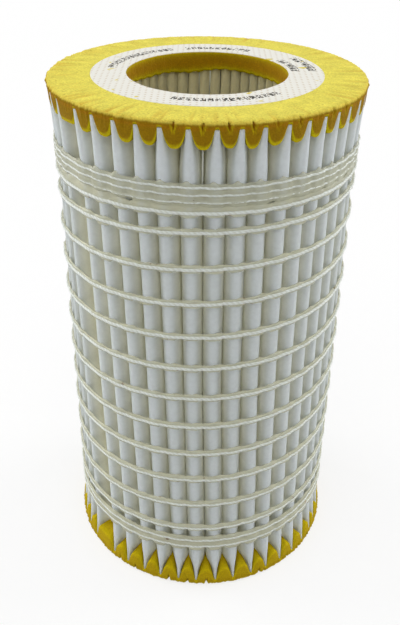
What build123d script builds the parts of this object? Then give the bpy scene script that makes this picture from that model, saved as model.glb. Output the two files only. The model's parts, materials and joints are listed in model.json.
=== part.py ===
from build123d import *
from math import cos, radians, tan
import os

# Pleated filter element: one sheet of fleece folded into a ring of deep pleats, a thread of
# melt wound round the pleats' crowns, and a soft felt disc bonded over each end of the ring.
# The Z axis runs up the bore, and the origin is the middle of the face that the element
# stands on.

# Driving dimensions, in millimetres and degrees
height = 149.0  # over both end discs
disc_diameter = 83.0
bore_diameter = 42.0

sheet = 0.6  # thickness of the folded filter sheet
pleat_count = 44
wide_valley = 13.6  # angle between the two pleats on either side of the one wide valley
first_pleat = -134.6  # angle of the first pleat after the wide valley, from the X axis
pleat_drift = 1.2  # how far a pleat strays from an even pitch
drift_waves = 3  # slow waves of that straying around the ring
drift_peak = -86.0  # angle where the pleats stray furthest forward
pack_twist = 4.6  # the ring of pleats turns clockwise by this much on its way up
crown_setback = 1.4  # open crowns stand this far inside the discs' rims
crown_width = 3.6  # width of a pleat's rounded crown between the discs
pinched_setback = 0.3  # the pinched ends reach almost to the rims
pinched_width = 1.3  # both plies pressed together at the discs
crown_depth = 1.2  # how far in from its top a crown has its full width
fold_wall = 0.4  # felt between the bore and the inner folds
valley_floor = 0.2  # width of the bottom of the narrowest valley
pinch_length = 11.8  # over which a pleat opens from its pinched end to its full width

disc_cover = 2.2  # felt over the ends of the pleats
tongue_reach = 6.6  # how far the felt reaches down the valleys from a disc's face
tongue_shoulder = 4.4  # where the round end of a tongue begins
tongue_tip = 0.45  # share of its width that a tongue keeps at its end
tongue_setback = 0.25  # of the tongues' faces from the rims
tongue_play = 0.1  # between a tongue's straight sides and the pleats
collar_reach = 5.3  # how far the felt lines the bore

label_diameter = 60.6
label_thickness = 0.3

strand_width = 1.6
strand_depth = 0.8
strand_pitch = 9.8  # rise of one open turn
low_turns = (16.3, 18.8)  # heights of the closing turns near the bottom
open_start = 23.9  # height of the first open turn
open_gap = 4.0  # the last open turn keeps at least this from the closing turns above it
high_turns = (22.0, 19.3, 17.5, 15.7)  # closing turns near the top, down from the top face
chords = 22  # straight spans of the thread in one turn

# Sizes that follow
disc_radius = disc_diameter / 2
bore_radius = bore_diameter / 2
label_radius = label_diameter / 2
crown_radius = disc_radius - crown_setback
pinched_radius = disc_radius - pinched_setback
fold_radius = bore_radius + fold_wall
root_radius = fold_radius + sheet
even_pitch = (360 - wide_valley) / (pleat_count - 1)
narrow_pitch = even_pitch * (1 - radians(pleat_drift * drift_waves))  # where the drift crowds them
root_half = (radians(narrow_pitch) * root_radius - valley_floor) / 2
tongue_radius = disc_radius - tongue_setback
collar_radius = fold_radius * cos(radians(wide_valley / 2))  # clears the flat of every fold
crown_corner = Vector(crown_radius, crown_width / 4).length
strand_seat = crown_corner / cos(radians(180 / chords))  # clears the crowns between its corners


def turned(radius, aside, angle, z=0.0):
    """The point at a radius, and a distance aside from the ray that leaves the axis at an angle."""
    return Vector(radius, aside, z).rotate(Axis.Z, angle)


def pleat_angle(number):
    """Angle of a pleat's middle at half height, the pleats counted on from the wide valley."""
    even = first_pleat + number * even_pitch
    return even + pleat_drift * cos(drift_waves * radians(even - drift_peak))


def twist_at(z):
    return pack_twist * (0.5 - z / height)


def facets_between(lower, upper):
    """Flat facets between two outlines, each four-sided patch creased on its shorter diagonal."""
    facets = []
    for here in range(len(lower)):
        a, b = lower[here - 1], lower[here]
        c, d = upper[here - 1], upper[here]
        if (d - a).length < (c - b).length:
            patch = ((a, b, d), (a, d, c))
        else:
            patch = ((a, b, c), (b, d, c))
        facets += [Face(Wire.make_polygon(corners)) for corners in patch]
    return facets


def skinned(outlines):
    """The solid whose skin runs through outlines with the same number of corners."""
    facets = [Face(Wire.make_polygon(end)) for end in (outlines[0], outlines[-1])]
    for lower, upper in zip(outlines, outlines[1:]):
        facets += facets_between(lower, upper)
    return Solid(Shell(facets))


def ring_sketch(inner, outer, z):
    """A flat ring about the Z axis at a height."""
    with BuildSketch(Plane.XY.offset(z)) as ring:
        Circle(outer)
        Circle(inner, mode=Mode.SUBTRACT)
    return ring.sketch


# The folded sheet: pinched flat where the discs hold it and open between them. Each pleat is a
# hairpin that runs up one flank to its shoulder, over the crown and down the other flank.
def sheet_outline(z, radius, width, inside):
    """Corners of the sheet's outer or inner face at one height."""
    inset = sheet if inside else 0
    root = (root_radius - inset, root_half - inset)
    shoulder = (radius - crown_depth, width / 2 - inset)
    crown = (radius, width / 4)
    far_side = [shoulder, root] if inside else [crown, shoulder, root]
    hairpin = [(r, -aside) for r, aside in reversed(far_side)] + far_side
    return [
        turned(r, aside, pleat_angle(number) + twist_at(z), z)
        for number in range(pleat_count)
        for r, aside in hairpin
    ]


levels = (
    (disc_cover, pinched_radius, pinched_width),
    (disc_cover + pinch_length, crown_radius, crown_width),
    (height - disc_cover - pinch_length, crown_radius, crown_width),
    (height - disc_cover, pinched_radius, pinched_width),
)
with BuildPart() as pleat_pack:
    outer_face = [sheet_outline(*level, inside=False) for level in levels]
    inner_face = [sheet_outline(*level, inside=True) for level in levels]
    skin = [
        Face(Wire.make_polygon(outer_face[end]), [Wire.make_polygon(inner_face[end])])
        for end in (0, -1)
    ]
    for face in (outer_face, inner_face):
        for lower, upper in zip(face, face[1:]):
            skin += facets_between(lower, upper)
    add(Solid(Shell(skin)))


# The felt discs: a flat cover, a collar that lines the bore, and a tongue down each valley.
# Where the straight sides of a tongue end, a pleat is this share of the way to fully open. Its
# flank bends there on the crease, at its inner point, and ends at its shoulder, the outer one.
opened = (tongue_shoulder - disc_cover) / pinch_length
crease_radius = root_radius + opened * (crown_radius - crown_depth - root_radius)
crease_half = root_half + opened * (crown_width / 2 - root_half)
shoulder_radius = pinched_radius - crown_depth + opened * (crown_radius - pinched_radius)
shoulder_half = (pinched_width + opened * (crown_width - pinched_width)) / 2


def flank_at(radius):
    """Half thickness of a pleat at a radius, where the straight sides of the tongues end."""
    share = (radius - crease_radius) / (shoulder_radius - crease_radius)
    return crease_half + share * (shoulder_half - crease_half)


def felt_tongue(left, right, face, inward):
    """The felt between two pleats, from near the floor of their valley out to the rim."""
    outlines = []
    for radius in (crease_radius, tongue_radius):
        half = radius * tan(radians(right - left) / 2) - flank_at(radius) - tongue_play
        profile = [
            (half, disc_cover),
            (half, tongue_shoulder),
            (half * tongue_tip, tongue_reach),
        ]
        corners = profile + [(-aside, depth) for aside, depth in reversed(profile)]
        middle = (left + right) / 2 + twist_at(face + inward * tongue_shoulder)
        outlines.append(
            [turned(radius, aside, middle, face + inward * depth) for aside, depth in corners]
        )
    return skinned(outlines)


def felt_tongues(face, inward):
    angles = [pleat_angle(number) for number in range(pleat_count)]
    return [
        felt_tongue(left, right, face, inward)
        for left, right in zip(angles, angles[1:] + [angles[0] + 360])
    ]


with BuildPart() as bottom_end_disc:
    extrude(ring_sketch(bore_radius, disc_radius, 0), amount=disc_cover)
    extrude(ring_sketch(bore_radius, collar_radius, disc_cover), amount=collar_reach - disc_cover)
    add(felt_tongues(0, 1))

with BuildPart() as top_end_disc:
    extrude(ring_sketch(bore_radius, disc_radius, height), amount=-disc_cover)
    extrude(
        ring_sketch(bore_radius, collar_radius, height - disc_cover),
        amount=disc_cover - collar_reach,
    )
    add(felt_tongues(height, -1))
    extrude(
        ring_sketch(bore_radius, label_radius, height),
        amount=-label_thickness,
        mode=Mode.SUBTRACT,
    )

# The printed ring of fleece that is bonded flush into the top disc
with BuildPart() as label_ring:
    extrude(ring_sketch(bore_radius, label_radius, height), amount=-label_thickness)


# The wound thread: closing turns, the open right-handed turns, and closing turns again, each
# turn in straight spans over the crowns. Both ends lie behind the element.
open_height = height - high_turns[0] - open_gap - open_start
open_turns = int(open_height / strand_pitch) + 1
passes = list(low_turns)
passes += [open_start + number * strand_pitch for number in range(open_turns)]
passes += [height - below for below in high_turns]


def thread_height(turn):
    """Height of the thread after a number of turns from the front of its first pass."""
    number = min(max(int(turn), 0), len(passes) - 2)
    return passes[number] + (turn - number) * (passes[number + 1] - passes[number])


def thread_outline(turn):
    """The thread's section, flat towards the crowns."""
    z = thread_height(turn)
    section = (
        (strand_seat, z - strand_width / 2),
        (strand_seat + strand_depth, z),
        (strand_seat, z + strand_width / 2),
    )
    return [turned(radius, 0, 360 * turn - 90, up) for radius, up in section]


with BuildPart() as winding:
    steps = range(-chords // 2, (len(passes) - 1) * chords + chords // 2 + 1)
    add(skinned([thread_outline(step / chords) for step in steps]))

os.makedirs("parts", exist_ok=True)
for name, piece in (
    ("pleat_pack", pleat_pack),
    ("bottom_end_disc", bottom_end_disc),
    ("top_end_disc", top_end_disc),
    ("label_ring", label_ring),
    ("winding", winding),
):
    piece.part.label = name
    export_step(piece.part, f"parts/{name}.step")
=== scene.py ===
import bisect
import json
import math
import bpy
import numpy as np
from mathutils import Matrix, Vector, noise


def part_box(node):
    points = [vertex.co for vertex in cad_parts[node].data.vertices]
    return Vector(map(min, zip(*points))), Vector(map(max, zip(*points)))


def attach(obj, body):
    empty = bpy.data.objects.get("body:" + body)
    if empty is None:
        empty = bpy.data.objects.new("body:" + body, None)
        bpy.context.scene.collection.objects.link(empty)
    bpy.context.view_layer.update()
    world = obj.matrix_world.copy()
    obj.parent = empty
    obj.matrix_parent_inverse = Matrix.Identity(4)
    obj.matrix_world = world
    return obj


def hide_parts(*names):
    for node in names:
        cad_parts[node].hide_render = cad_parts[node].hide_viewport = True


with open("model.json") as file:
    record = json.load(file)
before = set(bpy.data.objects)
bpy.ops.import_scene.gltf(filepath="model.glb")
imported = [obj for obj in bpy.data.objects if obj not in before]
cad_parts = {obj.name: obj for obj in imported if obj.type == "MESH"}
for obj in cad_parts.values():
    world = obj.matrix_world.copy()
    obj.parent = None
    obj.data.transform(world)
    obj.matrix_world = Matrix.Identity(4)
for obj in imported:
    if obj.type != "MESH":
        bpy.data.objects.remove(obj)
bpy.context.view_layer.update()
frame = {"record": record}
print("frame loaded")

# Sizes are in millimetres and degrees unless a note says otherwise. Meshes are made in metres.
mm = 0.001
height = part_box("top_end_disc")[1].z / mm
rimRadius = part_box("top_end_disc")[1].x / mm
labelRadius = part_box("label_ring")[1].x / mm
boreRadius = frame["record"]["mounts"][0]["dims"]["r_mm"]


def ease(value, low, high):
    t = min(max((value - low) / (high - low), 0.0), 1.0)
    return t * t * (3 - 2 * t)


def fromTable(value, table):
    return float(np.interp(value, [a for a, b in table], [b for a, b in table]))


# smooth noise from about -1 to 1; a bare number in a call only picks a place in it
def wobble(a, b, c=0.0):
    return noise.noise(Vector((a, b, c)))


def blend(one, other, share):
    return [p + (q - p) * share for p, q in zip(one, other)]


# the point at a radius, and a distance aside from the ray at an angle
def turned(radius, aside, angle, z):
    c, s = math.cos(math.radians(angle)), math.sin(math.radians(angle))
    return (radius * c - aside * s, radius * s + aside * c, z)


# Mesh tools
def nothingSelected():
    for thing in bpy.context.selected_objects:
        thing.select_set(False)


def selectOnly(piece):
    nothingSelected()
    bpy.context.view_layer.objects.active = piece
    piece.select_set(True)


# a grid primitive whose points are moved to their places, row by row
def shapedGrid(name, across, along, places):
    nothingSelected()
    bpy.ops.mesh.primitive_grid_add(x_subdivisions=across - 1, y_subdivisions=along - 1)
    piece = bpy.context.object
    piece.name = name
    piece.data.name = name
    if len(piece.data.vertices) != across * along:
        raise ValueError(name + " has the wrong number of points")
    piece.data.vertices.foreach_set("co", (np.array(places, float) * mm).ravel())
    piece.data.update()
    return piece


# joins the grid's edges where they meet, closes open ends and turns the faces outward
def closed(piece, endSides=0):
    selectOnly(piece)
    bpy.ops.object.mode_set(mode="EDIT")
    bpy.ops.mesh.select_all(action="SELECT")
    bpy.ops.mesh.remove_doubles(threshold=0.01 * mm)
    if endSides:
        bpy.ops.mesh.select_all(action="SELECT")
        bpy.ops.mesh.fill_holes(sides=endSides)
        bpy.ops.mesh.select_all(action="SELECT")
    bpy.ops.mesh.normals_make_consistent(inside=False)
    bpy.ops.object.mode_set(mode="OBJECT")


def thickened(piece, thickness, offset):
    selectOnly(piece)
    modifier = piece.modifiers.new("Solidify", "SOLIDIFY")
    modifier.thickness = thickness * mm
    modifier.offset = offset
    bpy.ops.object.modifier_apply(modifier=modifier.name)


def paint(piece, colours, name):
    layer = piece.data.color_attributes.new(name, "FLOAT_COLOR", "POINT")
    data = np.ones((len(colours), 4))
    data[:, :3] = colours
    layer.data.foreach_set("color", data.astype(np.float32).ravel())


def finished(piece, material, node):
    piece.data.materials.clear()
    piece.data.materials.append(material)
    for polygon in piece.data.polygons:
        polygon.use_smooth = True
    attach(piece, "root")
    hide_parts(node)
    print(piece.name, len(piece.data.polygons), "faces")
    return piece


# Material tools: each adds a node to a tree and gives its output. Their lengths are in metres.
def newMaterial(name, roughness, specular):
    material = bpy.data.materials.new(name)
    material.use_nodes = True
    tree = material.node_tree
    shader = tree.nodes["Principled BSDF"]
    shader.inputs["Roughness"].default_value = roughness
    shader.inputs["Specular IOR Level"].default_value = specular
    return material, tree, shader


def calc(tree, operation, *inputs):
    node = tree.nodes.new("ShaderNodeMath")
    node.operation = operation
    for socket, value in zip(node.inputs, inputs):
        if isinstance(value, (int, float)):
            socket.default_value = value
        else:
            tree.links.new(value, socket)
    return node.outputs[0]


def objectPlace(tree):
    return tree.nodes.new("ShaderNodeTexCoord").outputs["Object"]


def attribute(tree, name):
    node = tree.nodes.new("ShaderNodeAttribute")
    node.attribute_name = name
    return node.outputs["Color"]


def noiseAt(tree, place, scale, detail=2.0):
    node = tree.nodes.new("ShaderNodeTexNoise")
    node.inputs["Scale"].default_value = scale
    node.inputs["Detail"].default_value = detail
    tree.links.new(place, node.inputs["Vector"])
    return node.outputs["Fac"]


def between(tree, value, low, high, toLow=0.0, toHigh=1.0):
    node = tree.nodes.new("ShaderNodeMapRange")
    settings = {"From Min": low, "From Max": high, "To Min": toLow, "To Max": toHigh}
    for name, number in settings.items():
        node.inputs[name].default_value = number
    tree.links.new(value, node.inputs["Value"])
    return node.outputs["Result"]


def mixed(tree, share, one, other):
    node = tree.nodes.new("ShaderNodeMix")
    node.data_type = "RGBA"
    inputs = (("Factor", "VALUE", share), ("A", "RGBA", one), ("B", "RGBA", other))
    for name, kind, value in inputs:
        socket = next(i for i in node.inputs if i.name == name and i.type == kind)
        if isinstance(value, tuple):
            socket.default_value = (*value, 1)
        else:
            tree.links.new(value, socket)
    return next(o for o in node.outputs if o.type == "RGBA")


def scaledVector(tree, vector, axes):
    node = tree.nodes.new("ShaderNodeVectorMath")
    node.operation = "MULTIPLY"
    node.inputs[1].default_value = axes
    tree.links.new(vector, node.inputs[0])
    return node.outputs[0]


def scaledColour(tree, colour, factor):
    node = tree.nodes.new("ShaderNodeVectorMath")
    node.operation = "SCALE"
    tree.links.new(colour, node.inputs[0])
    tree.links.new(factor, node.inputs["Scale"])
    return node.outputs[0]


def bumped(tree, shader, relief, distance, strength):
    bump = tree.nodes.new("ShaderNodeBump")
    bump.inputs["Distance"].default_value = distance
    bump.inputs["Strength"].default_value = strength
    tree.links.new(relief, bump.inputs["Height"])
    tree.links.new(bump.outputs["Normal"], shader.inputs["Normal"])


# gives a share of the surface to a second shader
def sharedWith(tree, shader, other, share):
    both = tree.nodes.new("ShaderNodeMixShader")
    both.inputs["Fac"].default_value = share
    tree.links.new(shader.outputs[0], both.inputs[1])
    tree.links.new(other.outputs[0], both.inputs[2])
    tree.links.new(both.outputs[0], tree.nodes["Material Output"].inputs["Surface"])


# Where the pleats stand around the ring, numbered on from the one wide valley
layout = dict(
    count=44, wideValley=13.6, first=-134.6, drift=1.2, waves=3, peak=-86.0, twist=4.6,
    stray=0.3, strayRise=0.018,
    settledEnds=6,  # from either face to the heights of the settled angles
    levels=2,  # heights kept per millimetre
)
evenPitch = (360 - layout["wideValley"]) / (layout["count"] - 1)

# Angles from the front of pleats that were pushed about: near the top, halfway, near the foot
settled = {
    0: (-48.2, -45.2, -43.0), 1: (-39.7, -36.6, -34.5), 2: (-30.8, -28.2, -25.5),
    3: (-22.5, -20.0, -17.8), 4: (-14.5, -12.0, -9.5), 5: (-5.5, -4.0, -1.7),
    6: (3.3, 3.9, 6.8), 7: (11.0, 12.0, 14.8), 8: (18.5, 20.0, 23.3),
    9: (26.8, 28.0, 31.0), 10: (34.5, 35.9, 39.0), 11: (41.5, 43.5, 47.0),
    12: (48.5, 50.9, 55.2), 13: (55.8, 58.3, 63.2),
}


def pleatTurn(number, z):
    if number in settled:
        ends = layout["settledEnds"]
        heights = (ends, height / 2, height - ends)
        return -90 + float(np.interp(z, heights, settled[number][::-1]))
    even = layout["first"] + number * evenPitch
    drift = math.cos(layout["waves"] * math.radians(even - layout["peak"]))
    angle = even + layout["drift"] * drift + layout["twist"] * (0.5 - z / height)
    return angle + layout["stray"] * wobble(number * 3.7, z * layout["strayRise"], 9.1)


turnsKept = {}


def turnsAt(z):
    level = round(z * layout["levels"])
    if level not in turnsKept:
        turnsKept[level] = [
            pleatTurn(number, level / layout["levels"]) for number in range(layout["count"])
        ]
    return turnsKept[level]


# the valley at an angle, the place across it from -1 to 1, and its width in degrees
def valleyPlace(angle, z):
    turns = turnsAt(z)
    turn = (angle - turns[0]) % 360 + turns[0]
    number = bisect.bisect_right(turns, turn) - 1
    left = turns[number]
    right = turns[number + 1] if number + 1 < len(turns) else turns[0] + 360
    return number, 2 * (turn - left) / (right - left) - 1, right - left


# The folded sheet. Each side of a pleat is a row of depths below its crest with half widths
# where the pleat is open, and where it is pinched at the top and at the foot.
pleats = dict(
    flat=(1.81, 0.145),  # metres, before it was folded
    sheet=0.6, foldRadius=21.35, foldHalf=0.475, rootHalf=0.32,
    crest=[(0, 41.1), (2.3, 41.1), (8, 40.6), (14, 40.1), (124, 40.1), (132, 40.35),
           (141, 40.9), (146.8, 41.3), (149, 41.3)],  # radius of the crests by height
    opened=[(2.0, 0.0), (5.4, 0.2), (8.8, 0.65), (12.0, 0.9), (15.0, 1.0), (133.0, 1.0),
            (135.0, 0.92), (138.5, 0.72), (141.4, 0.45), (144.5, 0.13), (147.0, 0.0)],
    depths=(0.0, 0.08, 0.3, 0.75, 1.3, 1.9, 2.6, 3.6, 6.0, 12.0),
    wide=(0.0, 0.55, 0.96, 1.32, 1.62, 1.92, 2.22, 2.6, 2.6, 2.6),
    pinched=(0.0, 0.34, 0.42, 0.46, 0.52, 0.66, 0.9, 1.4, 2.1, 2.6),
    foot=(0.0, 0.02, 0.05, 0.12, 0.22, 0.42, 0.7, 1.3, 2.1, 2.6),
    uneven=0.12, unevenRise=0.05,  # of the crests' radius
    swell=0.08, swellRise=0.025,  # as a share of the width
    flankGap=0.03, rootGap=0.1,  # between neighbours
    bottom=1.8, top=2.0, ends=16, rows=(12, 24, 12),
    foldRise=(0.95, 0.0, 0.2), foldAside=(-1, 0.2, 1), foldPlay=0.28, foldLeast=0.3,
    paintedLightFrom=24.0, paintedLightTo=40.2,  # radii between which the painted light goes from the deep folds to the crests
    # painted light by radius: the deep folds painted lighter against their shade and yellow as
    # reflected light, the flanks painted grey as shade, the crests painted bright and bluish as a
    # highlight
    paintedLightStops=((0.0, (1.0, 0.93, 0.58)), (0.62, (0.99, 0.96, 0.74)), (0.76, (0.97, 0.95, 0.74)),
            (0.87, (0.9, 0.91, 0.81)), (0.93, (0.76, 0.79, 0.76)), (0.965, (0.76, 0.81, 0.83)),
            (0.985, (0.82, 0.88, 0.92)), (1.0, (0.86, 0.92, 0.98))),
    sheen=1.0, sheenRoughness=0.22, sheenTint=(0.85, 0.93, 1.0, 1),
    grain=900, grainShade=(0.94, 1.05),
    letThrough=0.42, throughColour=(0.97, 0.96, 0.86, 1),
)


def fleeceMaterial():
    s = pleats
    material, tree, shader = newMaterial("whiteFleece", 0.9, 0.2)
    shader.inputs["Sheen Weight"].default_value = s["sheen"]
    shader.inputs["Sheen Roughness"].default_value = s["sheenRoughness"]
    shader.inputs["Sheen Tint"].default_value = s["sheenTint"]
    place = objectPlace(tree)
    radius = tree.nodes.new("ShaderNodeVectorMath")
    radius.operation = "LENGTH"
    tree.links.new(scaledVector(tree, place, (1, 1, 0)), radius.inputs[0])
    # painted light read off the radius: lighter yellow deep folds, grey shaded flanks and bright
    # crests
    paintedLightShare = between(tree, radius.outputs["Value"], s["paintedLightFrom"] * mm, s["paintedLightTo"] * mm)
    ramp = tree.nodes.new("ShaderNodeValToRGB")
    stops = ramp.color_ramp.elements
    for index, (position, colour) in enumerate(s["paintedLightStops"]):
        stop = stops[index] if index < 2 else stops.new(position)
        stop.position, stop.color = position, (*colour, 1)
    tree.links.new(paintedLightShare, ramp.inputs["Fac"])
    grain = noiseAt(tree, place, s["grain"], 3)
    speckle = between(tree, grain, 0.3, 0.7, *s["grainShade"])
    tinted = scaledColour(tree, ramp.outputs["Color"], speckle)
    tree.links.new(tinted, shader.inputs["Base Color"])
    bumped(tree, shader, grain, 0.0001, 0.5)
    through = tree.nodes.new("ShaderNodeBsdfTranslucent")
    through.inputs["Color"].default_value = s["throughColour"]
    sharedWith(tree, shader, through, s["letThrough"])
    return material


# one side of a pleat's middle surface, from its crest in to its root
def pleatSide(number, z, room):
    s = pleats
    seed = number * 7.31
    openShare = fromTable(z, s["opened"])
    shut = s["foot"] if z < height / 2 else s["pinched"]
    uneven = s["uneven"] * wobble(seed, z * s["unevenRise"], 5.2)
    crest = fromTable(z, s["crest"]) + uneven - s["sheet"] / 2
    swell = 1 + s["swell"] * wobble(seed, z * s["swellRise"], 1.7)
    points = []
    for depth, wide, narrow in zip(s["depths"], s["wide"], shut):
        r = crest - depth
        half = (narrow + (wide - narrow) * openShare) * swell
        points.append((r, min(half, r * room - s["sheet"] / 2 - s["flankGap"])))
    inner = s["foldRadius"] + s["sheet"] / 2 + s["foldHalf"]
    points.append((inner, min(s["rootHalf"], inner * room - s["sheet"] / 2 - s["rootGap"])))
    return points


def foldedSheet():
    s = pleats
    low, middle, high = s["rows"]
    levels = sorted(set(
        list(np.linspace(s["bottom"], s["ends"], low))
        + list(np.linspace(s["ends"], height - s["ends"], middle))
        + list(np.linspace(height - s["ends"], height - s["top"], high))
    ))
    inner = s["foldRadius"] + s["sheet"] / 2
    places = []
    for z in levels:
        row = []
        turns = [pleatTurn(number, z) for number in range(layout["count"])]
        for number, here in enumerate(turns):
            after = turns[number + 1] if number + 1 < len(turns) else turns[0] + 360
            before = turns[number - 1] if number else turns[-1] - 360
            left = pleatSide(number, z, math.tan(math.radians(here - before) / 2))
            right = pleatSide(number, z, math.tan(math.radians(after - here) / 2))
            row += [turned(r, -w, here, z) for r, w in left[:0:-1]]
            row += [turned(r, w, here, z) for r, w in right]
            gap = math.radians(after - here) * s["foldRadius"] / 2 - s["rootHalf"]
            spread = max(gap - s["foldPlay"], s["foldLeast"])
            for rise, aside in zip(s["foldRise"], s["foldAside"]):
                row.append(turned(inner + rise, aside * spread, (here + after) / 2, z))
        places += row + row[:1]
    piece = shapedGrid("pleats", len(places) // len(levels), len(levels), places)
    closed(piece)
    thickened(piece, s["sheet"], 0.0)
    return finished(piece, fleeceMaterial(), "pleat_pack")


foldedSheet()

# A pale fleece strip standing out of the front valley, put where a thin line of light shines
# through the fold: its section as radius and distance aside
paintedLightLine = dict(
    angle=-91.1, low=23, high=7, rows=12,
    section=((36.5, -0.2), (38.6, -0.2), (38.75, 0.0), (38.6, 0.2), (36.5, 0.2), (36.5, -0.2)),
)


# a raised strip of fleece that stands in for the line of light shining through the fold
def paintedLightStrip():
    s = paintedLightLine
    places = [
        turned(r, aside, s["angle"], z)
        for z in np.linspace(height - s["low"], height - s["high"], s["rows"])
        for r, aside in s["section"]
    ]
    strip = shapedGrid("paintedLightLine", len(s["section"]), s["rows"], places)
    closed(strip, endSides=12)
    return finished(strip, bpy.data.materials["whiteFleece"], "pleat_pack")


paintedLightStrip()

# The felt discs. A disc is a closed skin of loops round the bore, and each loop is a part of
# the section: face, rim, wall with its tongues, lip, underside, hem and bore.
felt = dict(
    cover=2.2, reach=6.6, wall=41.3, collar=5.3, across=20,
    tongueDepth=4.4, tongueRadius=41,  # where the pleats' angles are read
    sizes=0.14, lean=0.5, skew=0.35, tongueRound=3.0, margin=0.45, widest=2.45,
    wideValley=10,  # a valley wider than this many degrees has a flat tongue
    rough=((0.22, 0.9, 3.3), (0.16, 2.7, 1.3), (0.12, 7.1, 0.0)),  # amount, frequency, place
    nickHalf=0.6, nickShift=0.35, smallNick=0.25, leastCrack=0.3, crackDepth=3.2,
    edgeWidth=2.4, softEdge=0.1, labelDrop=0.14, wrinkle=0.10, shading=0.09, crowding=0.42,
    rimRound=0.5, rimFrom=0.2, rimReach=0.95, wallFrom=1.2, wallShoulder=(1.3, 2.1),
    lipDrop=0.45, lipSet=0.35, lipRound=0.6, footFill=1.4,
    underRadius=22.6, hemRadius=22.2, hemWidth=1.15, hemWave=0.95, boreTop=0.15,
    # painted light in the felt colours: top is the face painted lighter as lit from above, side
    # the walls and tongues painted darker as shade, shadow a painted shadow under the rim's edge,
    # bore the hole's wall painted darker as shade, and the crack colour a nick's gap painted dark
    # as shade
    top=(0.83, 0.73, 0.115), worn=(0.70, 0.43, 0.04), side=(0.29, 0.165, 0.001),
    lip=(0.58, 0.47, 0.002), shadow=(0.36, 0.17, 0.002), paintedCrackShade=(0.22, 0.07, 0.001),
    bore=(0.40, 0.215, 0.001),
)
feltLoops = (
    [("face", r) for r in np.linspace(boreRadius + 0.25, rimRadius - 0.45, 18)]
    + [("rim", t) for t in (0.2, 0.45, 0.75, 1.0)]
    + [("wall", t) for t in (0.1, 0.25, 0.45, 0.65, 0.82, 0.94)]
    + [("lip", t) for t in (0.3, 0.7, 1.0)]
    + [("under", t) for t in (0.1, 0.25, 0.5, 0.75, 1.0)]
    + [("hem", t) for t in (0.0, 0.5, 1.0)]
    + [("bore", t) for t in (0.1, 0.22, 0.4, 0.6, 0.78, 0.92, 1.0)]
)


def feltMaterial(name):
    material, tree, shader = newMaterial(name, 0.95, 0.15)
    place = objectPlace(tree)
    fine, patchy = noiseAt(tree, place, 2400, 3), noiseAt(tree, place, 420, 3)
    shade = calc(
        tree, "MULTIPLY",
        between(tree, fine, 0.3, 0.7, 0.84, 1.12), between(tree, patchy, 0.3, 0.7, 0.95, 1.04),
    )
    # the painted colour attribute holds the felt's colour with painted light and painted shade in
    # it
    colour = scaledColour(tree, attribute(tree, "feltColourAndPaintedLight"), shade)
    specks = between(tree, noiseAt(tree, place, 1500, 1), 0.66, 0.78, 0.0, 0.55)
    tree.links.new(mixed(tree, specks, colour, (0.38, 0.2, 0.01)), shader.inputs["Base Color"])
    bumped(tree, shader, calc(tree, "ADD", fine, patchy), 0.0002, 0.9)
    return material


# what all the loops of a disc share at one angle
def feltColumn(s, angle):
    seed = s["seed"]
    number, t, pitch = valleyPlace(angle, s["at"](s["tongueDepth"]))
    half = math.radians(pitch) * s["tongueRadius"] / 2
    x = t * half
    flat = max(half - s["widest"], 0) if pitch > s["wideValley"] else 0
    u = min(max((abs(x) - flat) / (half - flat - s["margin"]), 0), 1)
    size = 1 + s["sizes"] * wobble(number * 5.1 + seed, 2.2)
    skew = s["lean"] * wobble(number * 3.3 + seed, 7.7)
    dip = (s["reach"] - s["cover"]) * size * (1 - u ** s["tongueRound"])
    dip *= 1 + skew * t * s["skew"]
    torn = s["ragged"](angle)
    rough = torn * sum(share * wobble(angle * rate, seed, at) for share, rate, at in s["rough"])
    off = x - s["nickShift"] * wobble(number * 9.1, seed)
    cut = s["nicks"].get(number, s["smallNick"] * abs(wobble(number * 4.7, seed)))
    around = math.radians(angle)
    gathered = wobble(2 * math.cos(around), 2 * math.sin(around), seed)
    hem = s["collar"] - 0.12 * math.cos(math.pi * t) + s["hemWave"] * gathered
    return dict(
        angle=angle, seed=seed, number=number, u=u, torn=torn, rough=rough, off=off, cut=cut,
        nick=cut * max(0.0, 1 - abs(off) / s["nickHalf"]), deep=s["cover"] + dip,
        crowd=wobble(angle * s["crowding"], seed, 6.0), hem=hem + 0.12 * wobble(angle * 0.5, seed),
    )


# each of these gives the radius, the depth below the disc's face and the colour of a loop; the
# colours hold painted light, lighter on the face and darker as shade down the walls and in the
# bore
def faceLoop(s, c, r):
    angle, seed = c["angle"], c["seed"]
    edge = ease(r, rimRadius - s["edgeWidth"], rimRadius)
    out = ease(r, labelRadius, rimRadius)
    wrinkle = wobble(angle * s["crowding"], r * 0.07, seed)
    wrinkle += 0.5 * wobble(angle * 1.3, r * 0.12, seed)
    inset = s["softEdge"] * ease(boreRadius + 0.8 - r, 0, 0.8)
    depth = 0.08 + s["wrinkle"] * wrinkle * out * (0.6 + 0.7 * c["torn"])
    depth += edge * (0.12 + 0.5 * c["nick"]) + inset
    if r < labelRadius:
        depth += s["labelDrop"]
    ridge = max(wrinkle, 0) * out
    wear = min(0.75 * ridge * c["torn"] + 0.5 * edge * max(c["crowd"] + 0.2, 0), 1)
    shade = 1 + s["shading"] * wobble(angle * 0.16, r * 0.25, seed) - 0.10 * ridge
    # the face's colour is painted lighter as lit from above
    colour = [part * shade for part in blend(s["top"], s["worn"], wear)]
    return r + edge * (c["rough"] - 0.9 * c["nick"]), depth, colour


def rimLoop(s, c, v):
    r = rimRadius - s["rimRound"] * (1 - v) ** 2 - 0.03 + c["rough"]
    r -= 1.3 * c["nick"] * (1 - 0.4 * v)
    depth = s["rimFrom"] + s["rimReach"] * v + 0.8 * c["nick"] * (1 - v)
    depth += 0.1 * c["torn"] * wobble(c["angle"] * 3.1, v * 2, c["seed"])
    # painted light: from the face's lit colour over the rim's round to the side's painted shade
    return r, depth, blend(blend(s["top"], s["worn"], 0.35), s["side"], ease(v, 0.2, 0.9))


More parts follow.
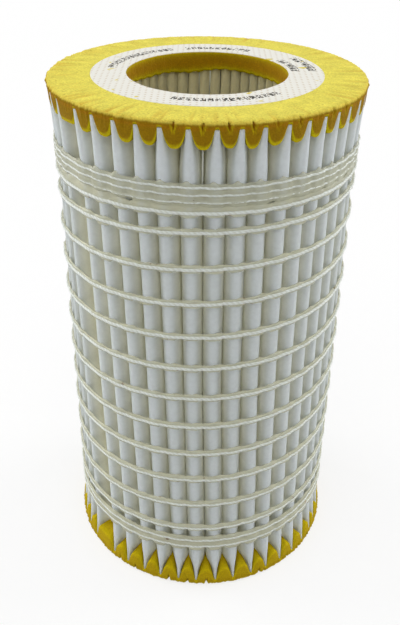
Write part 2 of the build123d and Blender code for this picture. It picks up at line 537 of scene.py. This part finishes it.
def wallLoop(s, c, v):
    depth = s["wallFrom"] + (c["deep"] - s["lipDrop"] - s["wallFrom"]) * v
    outer = rimRadius - 0.1
    r = outer - (outer - s["wall"]) * ease(depth, *s["wallShoulder"])
    r += c["rough"] * 0.6 * (1 - v)
    r -= 0.35 * v ** 3 + 1.0 * c["nick"] * (1 - ease(depth, 1.2, 3.0))
    r += 0.07 * wobble(c["angle"] * 1.7, depth * 1.1, c["seed"])
    # a painted shadow just under the rim, then the wall's painted shade, then the lighter lip at
    # the tongue's edge
    colour = blend(s["shadow"], s["side"], ease(depth, 1.5, 2.6))
    return r, depth, blend(colour, s["lip"], ease(depth, c["deep"] - 1.2, c["deep"] - 0.5))


def lipLoop(s, c, v):
    bend = math.radians(90 * v)
    depth = c["deep"] - s["lipDrop"] + s["lipDrop"] * math.sin(bend)
    r = s["wall"] - s["lipSet"] - s["lipRound"] * (1 - math.cos(bend))
    return r, depth, s["lip"]


def underLoop(s, c, v):
    outer = s["wall"] - s["lipSet"] - s["lipRound"]
    depth = c["deep"] + 0.15 * wobble(c["angle"], v * 4, c["seed"])
    if s["inward"] > 0:
        depth += s["footFill"] * ease(v, 0, 0.2) * (1 - c["u"])
    return outer - (outer - s["underRadius"]) * v, depth, [part * 1.05 for part in s["side"]]


def hemLoop(s, c, v):
    depth = c["hem"] + 0.1 * math.sin(math.pi * v)
    return s["hemRadius"] - s["hemWidth"] * v, depth, s["lip"]


def boreLoop(s, c, v):
    r = boreRadius + 0.06 * wobble(c["angle"] * 0.8, v * 3, c["seed"])
    # the bore's wall painted darker as shade, lighter towards its edges
    colour = blend(s["lip"], s["bore"], ease(v, 0.05, 0.3))
    depth = c["hem"] + (s["boreTop"] - c["hem"]) * v
    return r, depth, blend(colour, s["lip"], 0.6 * ease(v, 0.7, 0.95))


# a crack in the middle of a nick, its gap painted dark as shade, and the two flaps of felt beside
# it
def cracked(s, c, r, depth, colour):
    cut = c["cut"]
    lean = abs(c["off"] + 0.3 * wobble(c["number"] * 7.7, c["seed"]) * (depth - 1))
    reach = 0.15 + 0.6 * (1 - ease(depth, 0.6, 2.7))
    core = (1 - ease(lean, 0.06, 0.24)) * ease(depth, 0.3, 0.7) * (1 - ease(depth, 2.2, 2.7))
    flap = 1 - ease(abs(lean - reach), 0.1, 0.3)
    flap *= ease(depth, 0.8, 1.3) * (1 - ease(depth, 2.6, 3.1))
    colour = blend(colour, s["lip"], 0.75 * flap * min(cut, 1))
    # the crack's gap painted dark as shade
    colour = blend(colour, s["paintedCrackShade"], core * min(cut * 1.2, 1))
    return r + (0.3 * flap - 0.35 * core) * cut, depth, colour


feltShapes = dict(
    face=faceLoop, rim=rimLoop, wall=wallLoop, lip=lipLoop, under=underLoop, hem=hemLoop,
    bore=boreLoop,
)


def feltDisc(name, node, **settings):
    s = dict(felt, **settings)
    s["at"] = lambda depth: s["face"] + s["inward"] * depth
    steps = layout["count"] * s["across"]
    places, colours = [], []
    for step in range(steps + 1):
        angle = 360 * (step % steps) / steps
        column = feltColumn(s, angle)
        for kind, v in feltLoops + feltLoops[:1]:
            r, depth, colour = feltShapes[kind](s, column, v)
            nicked = column["cut"] > s["leastCrack"] and kind in ("rim", "wall")
            if nicked and depth < s["crackDepth"]:
                r, depth, colour = cracked(s, column, r, depth, colour)
            places.append(turned(r, 0, angle, s["at"](depth)))
            colours.append(colour)
    piece = shapedGrid(name, len(feltLoops) + 1, steps + 1, places)
    paint(piece, np.clip(colours, 0, 1), "feltColourAndPaintedLight")
    closed(piece)
    return finished(piece, feltMaterial(name + "Felt"), node)


# the upper rim is roughest at the left
def tornEdge(angle):
    fromLeft = abs((angle - 200 + 180) % 360 - 180)
    return 1.0 + 1.1 * (1 - ease(fromLeft, 20, 70))


# nicks are named by the valley they stand over, with their depth
feltDisc(
    "topFelt", "top_end_disc", face=height, inward=-1, seed=11.0, ragged=tornEdge,
    nicks={4: 0.9, 5: 1.0, 6: 1.0, 7: 0.8, 8: 0.35, 9: 0.5, 10: 0.3, 11: 0.45, 12: 0.5,
           13: 0.3, 2: 0.3},
)
feltDisc(
    "bottomFelt", "bottom_end_disc", face=0.0, inward=1, seed=29.0, ragged=lambda angle: 1.2,
    nicks={0: 0.9, 1: 0.7, 3: 1.0, 4: 0.9, 5: 1.1, 8: 1.0, 10: 1.0, 11: 0.9, 12: 0.7, 20: 0.8,
           27: 0.7, 34: 0.8, 40: 0.7},
    # the bottom disc's side and shadow are painted lighter than the top disc's: the same felt with
    # less painted shade
    side=(0.47, 0.33, 0.002), shadow=(0.40, 0.26, 0.002), worn=(0.5, 0.33, 0.01),
    lip=(0.54, 0.41, 0.002),
)

# The printed ring. A band is where marks stand: its start and end angle and its radius.
label = dict(
    rings=48, steps=720, inset=0.1, thickness=0.25, wave=0.05, sunk=0.02,
    bands=((251, 312, 25.3), (113.5, 173.6, 25.3), (62, 104, 25.3), (3, 32, 23.2), (3, 32, 27.6)),
    bandHalf=1.2,
    paper=(0.86, 0.845, 0.775), dot=(0.50, 0.36, 0.18), speck=(0.74, 0.62, 0.12),
    ink=(0.02, 0.016, 0.01),
    gridAcross=1.54, gridAlong=1.5,  # of the pressed dots
    markRadius=25.3, markWidth=1.72, markShare=0.79, markHalf=1.15,
    strokeColumns=5, strokeRise=0.42, strokeChance=0.38,
)


def labelMaterial():
    s = label
    material, tree, shader = newMaterial("printedFleece", 0.85, 0.2)
    place = objectPlace(tree)
    axes = tree.nodes.new("ShaderNodeSeparateXYZ")
    tree.links.new(place, axes.inputs[0])

    def go(operation, *inputs):
        return calc(tree, operation, *inputs)

    def fromDot(axis, pitch, stretch):
        offset = go("SUBTRACT", go("FRACT", go("DIVIDE", axes.outputs[axis], pitch * mm)), 0.5)
        return go("POWER", go("MULTIPLY", offset, stretch), 2)

    reach = go("SQRT", go(
        "ADD", fromDot("X", s["gridAcross"], 3.0), fromDot("Y", s["gridAlong"], 6.0)
    ))
    faded = between(tree, noiseAt(tree, place, 300), 0.3, 0.5, 0.6, 1.0)
    dots = go("MULTIPLY", between(tree, reach, 0.75, 0.35), faded)
    specks = between(tree, noiseAt(tree, place, 330, 0), 0.755, 0.80)
    paper = mixed(tree, specks, mixed(tree, dots, s["paper"], s["dot"]), s["speck"])
    # plain dark marks: chance strokes in each cell along the printed bands
    band = tree.nodes.new("ShaderNodeSeparateColor")
    tree.links.new(attribute(tree, "printBand"), band.inputs[0])
    cells = go(
        "MULTIPLY", go("ARCTAN2", axes.outputs["Y"], axes.outputs["X"]),
        s["markRadius"] / s["markWidth"],
    )
    level = go("SUBTRACT", go("MULTIPLY", band.outputs["Green"], 4.0), 2.0)  # off the middle
    stroke = tree.nodes.new("ShaderNodeCombineXYZ")
    column = go("FLOOR", go("MULTIPLY", cells, s["strokeColumns"]))
    tree.links.new(column, stroke.inputs["X"])
    tree.links.new(go("FLOOR", go("DIVIDE", level, s["strokeRise"])), stroke.inputs["Y"])
    chance = tree.nodes.new("ShaderNodeTexWhiteNoise")
    chance.noise_dimensions = "3D"
    tree.links.new(stroke.outputs[0], chance.inputs["Vector"])
    marks = go("GREATER_THAN", chance.outputs["Value"], s["strokeChance"])
    for edge in (
        go("LESS_THAN", go("FRACT", cells), s["markShare"]),
        go("LESS_THAN", go("ABSOLUTE", level), s["markHalf"]),
        go("GREATER_THAN", band.outputs["Red"], 0.5),
        between(tree, noiseAt(tree, place, 1400, 2), 0.38, 0.5, 0.75, 1.0),
    ):
        marks = go("MULTIPLY", marks, edge)
    tree.links.new(mixed(tree, marks, paper, s["ink"]), shader.inputs["Base Color"])
    relief = go("SUBTRACT", noiseAt(tree, place, 1800, 2), dots)
    bumped(tree, shader, relief, 0.00012, 0.5)
    return material


def printedRing():
    s = label
    steps = s["steps"]
    rings = np.linspace(boreRadius + s["inset"], labelRadius, s["rings"])
    places, colours = [], []
    for r in rings:
        for step in range(steps + 1):
            angle = 360 * (step % steps) / steps
            x, y, z = turned(r, 0, angle, height)
            z += s["wave"] * wobble(x * 0.25, y * 0.25, 4.0) - s["sunk"]
            places.append((x, y, z))
            here = (0.0, 0.5, 0.0)
            for start, end, middle in s["bands"]:
                if start <= angle % 360 <= end and abs(r - middle) < s["bandHalf"]:
                    here = (1.0, 0.5 + (r - middle) / 4.0, 0.0)  # read back by the material
            colours.append(here)
    piece = shapedGrid("printedRing", steps + 1, len(rings), places)
    paint(piece, colours, "printBand")
    closed(piece)
    thickened(piece, s["thickness"], -1.0)
    return finished(piece, labelMaterial(), "label_ring")


printedRing()

# The wound thread: closing turns, open turns that rise to the right, and closing turns again
winding = dict(
    low=(16.3, 18.8), start=23.9, turns=11, pitch=9.8, high=(22.0, 19.3, 17.5, 15.7),
    seat=40.15, crown=40, openCrest=40.1, overrun=0.5,  # turns past the first and last pass
    highBand=(14.75, 20.3), lowBand=(15.7, 19.3),
    core=0.45, embedded=0.3, bandSlack=0.3, squeeze=0.85, thinner=0.12, thinHeights=(20, 95),
    onCrown=0.40, sag=0.12, onCrownInBand=0.33, sagInBand=0.3, valleyFrom=(1.3, 2.5),
    steps=264, sides=8, sway=0.16,
    yarnDark=(0.60, 0.62, 0.55), yarnLight=(0.74, 0.78, 0.74), strands=2, lay=3300,
)
passes = list(winding["low"])
passes += [winding["start"] + number * winding["pitch"] for number in range(winding["turns"])]
passes += [height - below for below in winding["high"]]
webPass = len(passes) - len(winding["high"])  # the first of the upper closing turns


def threadHeight(turn):
    number = min(max(int(turn), 0), len(passes) - 2)
    return passes[number] + (turn - number) * (passes[number + 1] - passes[number])


# how far the crests stand beyond their usual radius
def flare(z):
    return fromTable(z, pleats["crest"]) - winding["openCrest"]


# distance from the middle of the nearer crown, the valley beside it, and the place across it
def crownOffset(angle, z):
    number, t, pitch = valleyPlace(angle, z)
    half = math.radians(pitch) * winding["crown"] / 2
    return (t + 1) * half if t < 0 else (1 - t) * half, number, t


def cordMaterial():
    s = winding
    material, tree, shader = newMaterial("whiteYarn", 0.38, 0.4)
    coordinates = tree.nodes.new("ShaderNodeTexCoord")
    axes = tree.nodes.new("ShaderNodeSeparateXYZ")
    tree.links.new(coordinates.outputs["UV"], axes.inputs[0])

    def go(operation, *inputs):
        return calc(tree, operation, *inputs)

    around = go("MULTIPLY", axes.outputs["X"], s["strands"] * 2 * math.pi)
    along = go("MULTIPLY", axes.outputs["Y"], 2 * math.pi * s["lay"])
    strands = go("SINE", go("ADD", around, along))
    uneven = noiseAt(tree, coordinates.outputs["Object"], 900, 3)
    lit = between(tree, go("ADD", strands, go("MULTIPLY", uneven, 3)), 0.0, 2.6)
    tree.links.new(mixed(tree, lit, s["yarnDark"], s["yarnLight"]), shader.inputs["Base Color"])
    bumped(tree, shader, go("ADD", strands, go("MULTIPLY", uneven, 2)), 0.00005, 0.6)
    return material


def woundCord():
    s = winding
    first, last = -s["overrun"], len(passes) - s["overrun"]
    count = int((last - first) * s["steps"]) + 1
    places = []
    for step in range(count):
        turn = first + (last - first) * step / (count - 1)
        z = threadHeight(turn)
        angle = 360 * turn - 90
        valley = ease(crownOffset(angle, z)[0], *s["valleyFrom"])
        high = s["highBand"]
        held = z > height / 2 and (
            high[0] - s["bandSlack"] < height - z < high[1] + s["bandSlack"]
        )
        thin = s["thinner"] * (1 - ease(z, *s["thinHeights"]))
        c = (s["embedded"] if held else s["core"] - thin) * (1 + 0.12 * wobble(turn * 60, 8.0))
        seat, sag = ("onCrownInBand", "sagInBand") if held else ("onCrown", "sag")
        r = s["seat"] + flare(z) + (s[seat] - s[sag] * valley)
        z += s["sway"] * wobble(turn * 30, 3.0)
        for side in range(s["sides"] + 1):
            a = math.radians(360 / s["sides"] * side)
            out, rise = c * math.cos(a) * s["squeeze"], c * math.sin(a)
            places.append(turned(r + out, 0, angle, z + rise))
    cord = shapedGrid("thread", s["sides"] + 1, count, places)
    closed(cord, endSides=20)
    return finished(cord, cordMaterial(), "winding")


def filmMaterial(name, colour, clear):
    material, tree, shader = newMaterial(name, 0.3, 0.45)
    place = objectPlace(tree)
    uneven = noiseAt(tree, place, 500, 3)
    drawn = noiseAt(tree, scaledVector(tree, place, (0.25, 0.25, 2.2)), 900, 2)
    darker, lighter = (tuple(min(c * k, 1) for c in colour) for k in (0.88, 1.08))
    base = mixed(tree, between(tree, drawn, 0.3, 0.7), darker, lighter)
    specks = between(tree, noiseAt(tree, place, 640, 0), 0.80, 0.82)
    tree.links.new(mixed(tree, specks, base, (0.3, 0.12, 0.02)), shader.inputs["Base Color"])
    bumped(tree, shader, calc(tree, "ADD", uneven, drawn), 0.00025, 0.5)
    sharedWith(tree, shader, tree.nodes.new("ShaderNodeBsdfTransparent"), clear)
    return material


# The clear melt along the open turns, which climbs and hangs at the crowns
film = dict(
    steps=308, up=0.85, upLow=0.45, upUneven=0.25, crownUp=0.15, crownUneven=0.5, shoulder=0.3,
    down=0.58, downUneven=0.12, crownDown=0.7, crownDownUneven=0.4, firstSag=0.8, least=0.5,
    webMost=3.4, webOverlap=0.35, window=0.95, tuck=0.12, lump=0.10, bulge=0.15, bead=0.5,
    colour=(0.80, 0.79, 0.58), clear=0.58,
)


def meltFilm():
    s = film
    first, last = -winding["overrun"], webPass + winding["overrun"]
    count = int((last - first) * s["steps"]) + 1
    places = []
    for step in range(count):
        turn = first + (last - first) * step / (count - 1)
        z = threadHeight(turn)
        angle = 360 * turn - 90
        away, number, t = crownOffset(angle, z)
        crown = 1 - ease(away, 1.3, 2.7)
        lower = 1 - ease(z, *winding["thinHeights"])
        up = s["up"] + s["upLow"] * lower + s["upUneven"] * wobble(turn * 41, 14.0)
        up += crown * (s["crownUp"] + s["crownUneven"] * wobble(turn * 19, 14.0))
        up += s["shoulder"] * ease(t, -1.0, -0.6) * (1 - ease(t, -0.6, 0.1))
        down = s["down"] + s["downUneven"] * wobble(turn * 70, 4.0)
        down += crown * (s["crownDown"] + s["crownDownUneven"] * wobble(turn * 23, 24.0))
        if round(turn) == 0:
            down += s["firstSag"] * crown
        if round(turn) == webPass:  # a web up to the band, with a window in some valleys
            gap = 0.5 + 0.9 * wobble(number * 3.1, 6.6)
            full = height - winding["highBand"][1] + s["webOverlap"] - z
            across = 1 - ease(abs(t + 0.15), 0.2, 0.5)
            up = min(full, s["webMost"]) - s["window"] * ease(gap, 0.3, 0.6) * across
        up, down = max(up, s["least"]), max(down, s["least"])
        r = winding["seat"] + flare(z) - s["tuck"] * (1 - crown)
        r += s["lump"] * crown * wobble(turn * 33, 51.0)
        bulge = s["bulge"] * crown + s["bead"] * crown * max(wobble(turn * 53, 61.0) + 0.1, 0)
        z += winding["sway"] * wobble(turn * 30, 3.0)
        section = [
            (-0.05, up), (0.16, up * 0.92), (0.28 + bulge, up * 0.62),
            (0.40 + 0.2 * bulge, 0.3), (0.42 + 0.2 * bulge, -0.1),
            (0.32 + 0.8 * bulge, -down * 0.6), (0.18, -down * 0.92), (-0.05, -down),
            (-0.12, -down * 0.4), (-0.12, up * 0.4), (-0.05, up),
        ]
        places += [turned(r + out, 0, angle, z + rise) for out, rise in section]
    piece = shapedGrid("meltFilm", len(section), count, places)
    closed(piece, endSides=20)
    return finished(
        piece, filmMaterial("clearMelt", s["colour"], s["clear"]), "winding"
    )


# The bands of melt over the closing turns
bands = dict(
    columns=16, rows=20, proud=0.12, body=0.34, under=0.3, back=0.12, roundEdge=0.12,
    lumps=0.10, ridges=0.08, ridgeRate=3.3,
    colour=(0.70, 0.70, 0.52),
)


def meltBand(name, top, bottom, climb, gusset, clear):
    s = bands
    columns, rows = layout["count"] * s["columns"], s["rows"]
    middle = (top + bottom) / 2
    places = []
    for step in range(columns + 1):
        angle = 360 * (step % columns) / columns
        around = math.radians(angle)
        away, number, t = crownOffset(angle, middle)
        crown = 1 - ease(away, 1.2, 2.5)
        # the melt was drawn up at the left of each crown
        pull = ease(t, 0.35, 0.8) * (1 - 0.6 * ease(t, 0.9, 1.0))
        pull += 0.5 * (1 - ease(t, -1.0, -0.75)) * (t < 0)
        upper = top + climb * pull * (0.7 + 0.5 * wobble(number * 2.7, 1.0))
        upper += 0.12 * wobble(angle * 0.3, 2.0) + 0.15 * math.sin(around + 1)
        lower = bottom - gusset * crown * (0.8 + 0.4 * wobble(number * 1.9, 3.0))
        lower -= 0.1 * wobble(angle * 0.4, 5.0)
        base = winding["seat"] - s["under"] * (1 - crown) + flare(middle)
        for row in range(rows):
            share = row / (rows - 1)
            z = upper + (lower - upper) * share
            edge = min(share, 1 - share)
            r = base + s["proud"] + s["body"] * ease(edge, 0, s["roundEdge"])
            r += s["lumps"] * wobble(angle * 0.08, z * 2.4, 9.0)
            ridge = math.sin(z * s["ridgeRate"] + 0.6 * math.sin(around * 5))
            r += s["ridges"] * ridge * ease(edge, 0.02, 0.15)
            places.append(turned(r, 0, angle, z))
        for share in (0.8, 0.5, 0.2):
            places.append(turned(base - s["back"], 0, angle, upper + (lower - upper) * share))
        places.append(places[-rows - 3])
    band = shapedGrid(name, rows + 4, columns + 1, places)
    closed(band)
    return finished(band, filmMaterial(name + "Melt", s["colour"], clear), "winding")


woundCord()
meltFilm()
high, low = winding["highBand"], winding["lowBand"]
meltBand("highBand", height - high[0], height - high[1], climb=1.0, gusset=0.3, clear=0.55)
meltBand("lowBand", low[1], low[0], climb=0.3, gusset=1.5, clear=0.5)
print("element made")

# Floor, light and camera
studio = dict(
    floorSize=6, floorDrop=0.0002,  # metres
    floor=(0.75, 0.75, 0.76, 1), whiteShare=0.72, world=0.48,
    sun=0.95, sunAngle=60, sunTurn=(20, -6, 0),
    wing=1.7, wingAngle=35, wingTurn=(0, 78, 20),  # mirrored for the other side
)


def paleFloor():
    s = studio
    nothingSelected()
    bpy.ops.mesh.primitive_plane_add(size=s["floorSize"], location=(0, 0, -s["floorDrop"]))
    floor = bpy.context.object
    floor.name = "floor"
    material, tree, shader = newMaterial("paleFloor", 1.0, 0.0)
    shader.inputs["Base Color"].default_value = s["floor"]
    pale = tree.nodes.new("ShaderNodeBsdfDiffuse")
    pale.inputs["Color"].default_value = (1, 1, 1, 1)
    white = tree.nodes.new("ShaderNodeEmission")
    backdrop = tree.nodes.new("ShaderNodeMixShader")
    backdrop.inputs["Fac"].default_value = s["whiteShare"]
    tree.links.new(pale.outputs[0], backdrop.inputs[1])
    tree.links.new(white.outputs[0], backdrop.inputs[2])
    seen = tree.nodes.new("ShaderNodeLightPath").outputs
    anyLook = calc(tree, "MAXIMUM", seen["Is Camera Ray"], seen["Is Glossy Ray"])
    shown = tree.nodes.new("ShaderNodeMixShader")
    tree.links.new(anyLook, shown.inputs["Fac"])
    tree.links.new(shader.outputs[0], shown.inputs[1])
    tree.links.new(backdrop.outputs[0], shown.inputs[2])
    tree.links.new(shown.outputs[0], tree.nodes["Material Output"].inputs["Surface"])
    floor.data.materials.append(material)


def paleWorld():
    world = bpy.data.worlds.new("studio")
    bpy.context.scene.world = world
    world.use_nodes = True
    tree = world.node_tree
    seen = tree.nodes.new("ShaderNodeLightPath").outputs["Is Camera Ray"]
    level = tree.nodes.new("ShaderNodeMix")
    level.data_type = "FLOAT"
    level.inputs["A"].default_value = studio["world"]
    level.inputs["B"].default_value = 1.0
    tree.links.new(seen, level.inputs["Factor"])
    back = tree.nodes["Background"]
    tree.links.new(level.outputs["Result"], back.inputs["Strength"])
    back.inputs["Color"].default_value = (1, 1, 1, 1)


def softSun(name, place, energy, angle, turn):
    nothingSelected()
    bpy.ops.object.light_add(type="SUN", location=place)
    sun = bpy.context.object
    sun.name = name
    sun.data.energy = energy
    sun.data.angle = math.radians(angle)
    sun.rotation_euler = [math.radians(part) for part in turn]


paleFloor()
paleWorld()
softSun("softbox", (0, 0, 1), studio["sun"], studio["sunAngle"], studio["sunTurn"])
for side in (-1, 1):
    sideTurn = [part * side for part in studio["wingTurn"]]
    softSun("wing", (side, 0.4, 0.4), studio["wing"], studio["wingAngle"], sideTurn)
print("floor and light made")

view = dict(
    distance=242.98, aim=75.17, pitch=31.674, yaw=-0.273, roll=0.8435,
    focal=784.93, frameHeight=625, sensor=36,
)
pitch, yaw, roll = (math.radians(view[k]) for k in ("pitch", "yaw", "roll"))
backward = Vector((0, -math.cos(pitch), math.sin(pitch)))
ahead, right = -backward, Vector((1, 0, 0))
upward = right.cross(ahead)
ahead, right = (
    ahead * math.cos(yaw) + right * math.sin(yaw), right * math.cos(yaw) - ahead * math.sin(yaw)
)
right, upward = (
    right * math.cos(roll) + upward * math.sin(roll),
    upward * math.cos(roll) - right * math.sin(roll),
)
bpy.ops.object.camera_add()
camera = bpy.context.object
camera.name = "camera"
stand = (Vector((0, 0, view["aim"])) + backward * view["distance"]) * mm
axes = Matrix((right, upward, -ahead)).transposed().to_4x4()
camera.matrix_world = Matrix.Translation(stand) @ axes
camera.data.sensor_width = view["sensor"]
camera.data.lens = view["focal"] / view["frameHeight"] * view["sensor"]
camera.data.clip_start = 0.01
bpy.context.scene.camera = camera
bpy.context.scene.view_settings.view_transform = "Standard"
print("camera placed")
